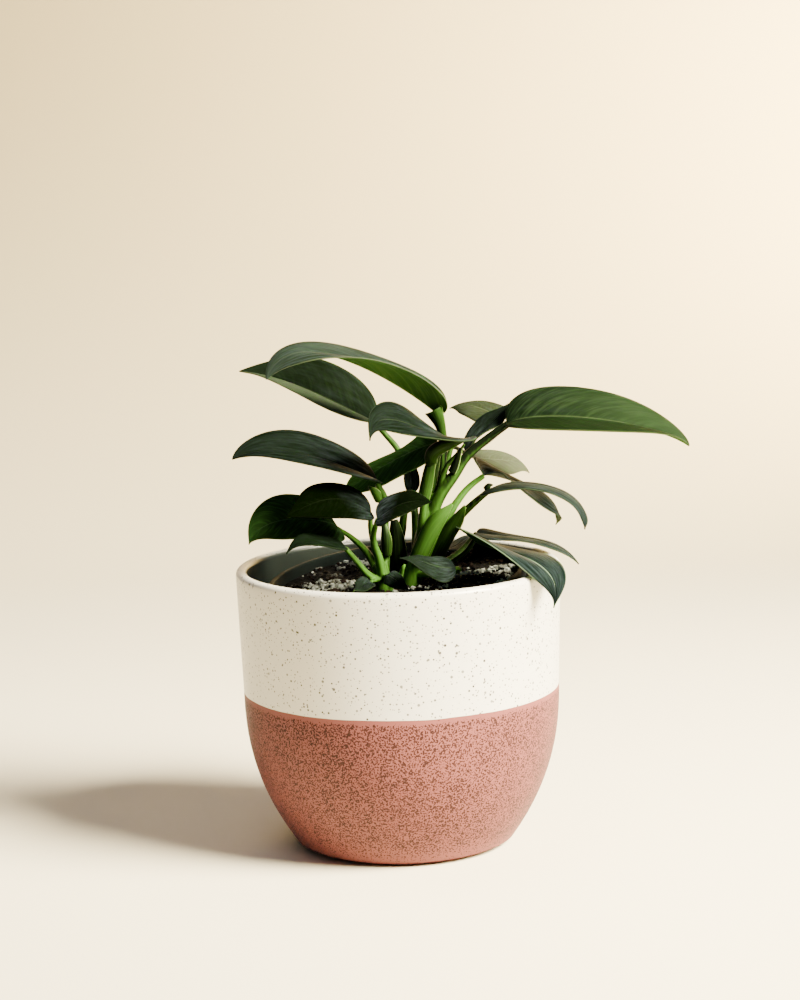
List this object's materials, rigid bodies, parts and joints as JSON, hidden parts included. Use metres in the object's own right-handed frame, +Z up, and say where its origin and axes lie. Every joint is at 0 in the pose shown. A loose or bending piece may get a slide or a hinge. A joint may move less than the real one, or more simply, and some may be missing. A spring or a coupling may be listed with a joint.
{
  "type": "potted philodendron",
  "caption": "Small leafy philodendron in a black nursery pot, set in a round two-tone glazed stoneware pot with a speckled pale upper part and a clay-pink foot.",
  "frame": {"origin": "centre of the ceramic pot's base, on the surface that it stands on", "axes": "+Z up the pot's axis, -Y the front of the plant, +X to the right as seen from the front"},
  "size_m": [0.1954, 0.1398, 0.2182],
  "materials": {
    "glazed_stoneware": "satin",
    "black_plastic": "satin",
    "potting_soil": "matte",
    "green_stem": "satin",
    "dark_leaf": "satin",
    "bright_leaf": "satin",
    "grey_leaf": "satin"
  },
  "bodies": {
    "root": {"ceramic_pot": "glazed_stoneware", "nursery_pot": "black_plastic", "soil": "potting_soil", "stem_main": "green_stem", "stem_left": "green_stem", "stem_middle": "green_stem", "leaf_top_back": "dark_leaf", "leaf_top_arching": "bright_leaf", "leaf_top_right": "bright_leaf", "leaf_top_right_young": "dark_leaf", "leaf_centre_front": "dark_leaf", "leaf_left_long": "dark_leaf", "leaf_middle_back": "dark_leaf", "leaf_left_round": "dark_leaf", "leaf_left_low": "dark_leaf", "leaf_left_rim": "bright_leaf", "leaf_centre_small": "bright_leaf", "leaf_right_far": "grey_leaf", "leaf_right_arched": "dark_leaf", "leaf_right_behind": "dark_leaf", "leaf_right_low": "dark_leaf", "leaf_right_hanging": "dark_leaf", "leaf_back_low": "grey_leaf", "leaf_top_far": "grey_leaf", "leaf_foot_front": "grey_leaf", "leaf_foot_left": "dark_leaf", "leaf_foot_middle": "grey_leaf", "leaf_centre_young": "dark_leaf"}
  },
  "joints": []
}
